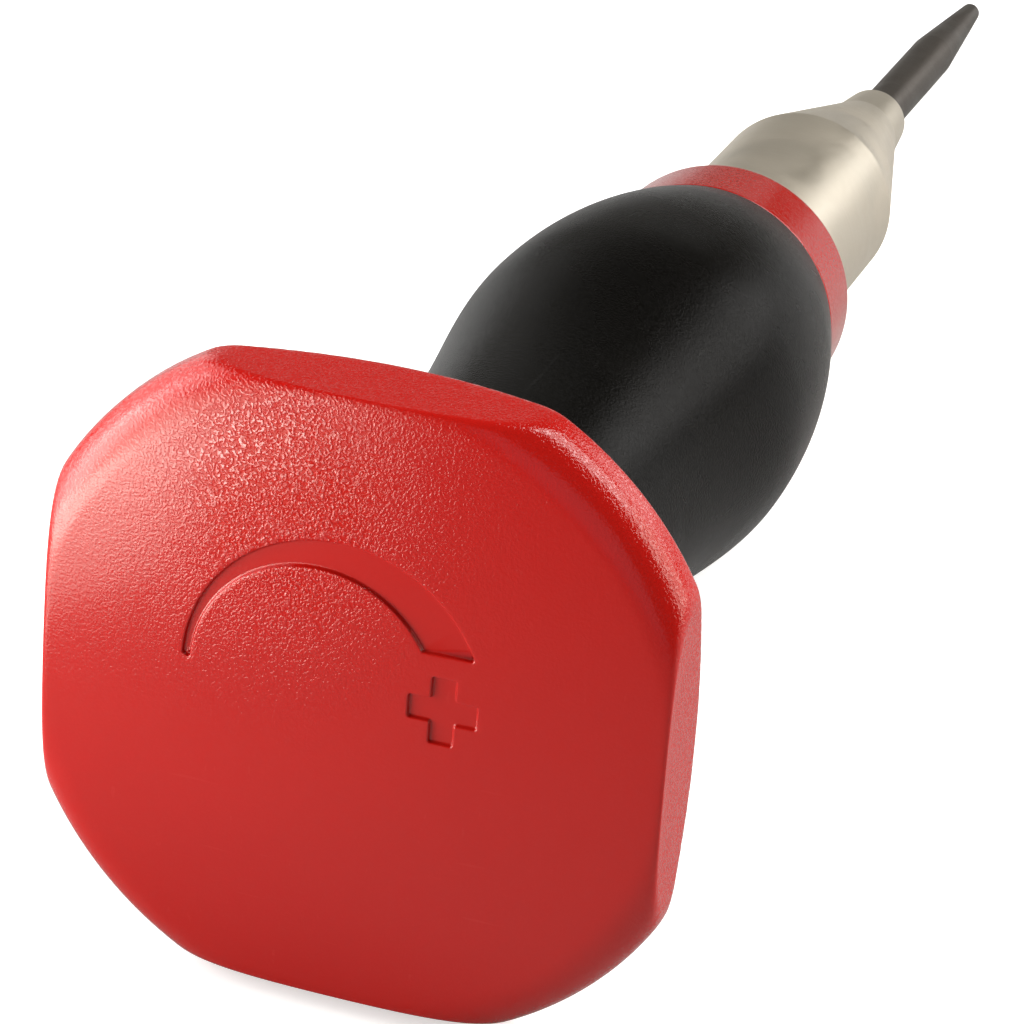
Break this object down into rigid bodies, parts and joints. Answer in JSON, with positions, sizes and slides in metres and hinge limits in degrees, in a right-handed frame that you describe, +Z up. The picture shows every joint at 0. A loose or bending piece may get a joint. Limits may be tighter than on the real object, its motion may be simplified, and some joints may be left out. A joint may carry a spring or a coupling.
{
  "type": "automatic center punch",
  "caption": "Hand-held automatic center punch: broad palm cap with flats that sets the blow, soft pear-shaped grip, plated conical nose and a spring-loaded slender point.",
  "frame": {"origin": "tip of the punch point, on the tool's axis", "axes": "+Y along the tool's axis, out of the tip; +Z up through the middle of one flat of the palm cap; +X to the right when looking at the cap's face along +Y"},
  "size_m": [0.0356, 0.1417, 0.0356],
  "materials": {
    "red_plastic": "fine moulded grain, satin",
    "grip_rubber": "soft matte",
    "ring_rubber": "smooth",
    "nickel_plate": "satin nickel plate",
    "dark_steel": "hardened, dark oxide",
    "tool_steel": "turned, lightly oiled",
    "spring_steel": "drawn wire",
    "bronze": "sintered bronze"
  },
  "bodies": {
    "handle": {"handle_core": "red_plastic", "grip_sleeve": "grip_rubber", "nose": "nickel_plate", "guide_bush": "bronze", "barrel": "tool_steel", "centring_ring": "tool_steel", "rear_plug": "tool_steel", "return_spring": "spring_steel", "main_spring": "spring_steel"},
    "spindle": {"spindle": "tool_steel", "punch_point": "dark_steel"},
    "trip_pin": {"trip_pin": "tool_steel", "tilt_spring": "spring_steel"},
    "hammer": {"hammer": "tool_steel"},
    "spring_seat": {"spring_seat": "tool_steel", "thrust_washer": "bronze"},
    "cap": {"palm_cap": "red_plastic", "adjusting_screw": "tool_steel", "retaining_clip": "spring_steel", "drag_ring": "ring_rubber"}
  },
  "joints": [
    {"name": "punch_stroke", "type": "slide", "parent": "handle", "child": "spindle", "axis": [0, -1, 0], "range_m": [0, 0.008], "stiffness_N_per_m": 400, "springref_m": -0.003, "deforming": ["return_spring"]},
    {"name": "trip_tilt", "type": "hinge", "parent": "spindle", "child": "trip_pin", "pos_m": [0, -0.05225, 0], "axis": [0, 0, 1], "range_deg": [-2.1, 0]},
    {"name": "hammer_lift", "type": "slide", "parent": "handle", "child": "hammer", "axis": [0, -1, 0], "range_m": [0, 0.008], "stiffness_N_per_m": 3000, "springref_m": -0.0004, "deforming": ["main_spring"]},
    {"name": "seat_advance", "type": "slide", "parent": "handle", "child": "spring_seat", "axis": [0, 1, 0], "range_m": [-0.00251, 0.00126], "deforming": ["main_spring"]},
    {"name": "cap_turn", "type": "hinge", "parent": "spring_seat", "child": "cap", "pos_m": [0, -0.1417, 0], "axis": [0, 1, 0], "range_deg": [-720, 360]}
  ],
  "couplings": [
    {"joint": "hammer_lift", "follows": "punch_stroke", "ratio": 1},
    {"joint": "trip_tilt", "follows": "punch_stroke", "rad_per_m": -4.5882},
    {"joint": "seat_advance", "follows": "cap_turn", "m_per_rad": 0.00019894}
  ]
}
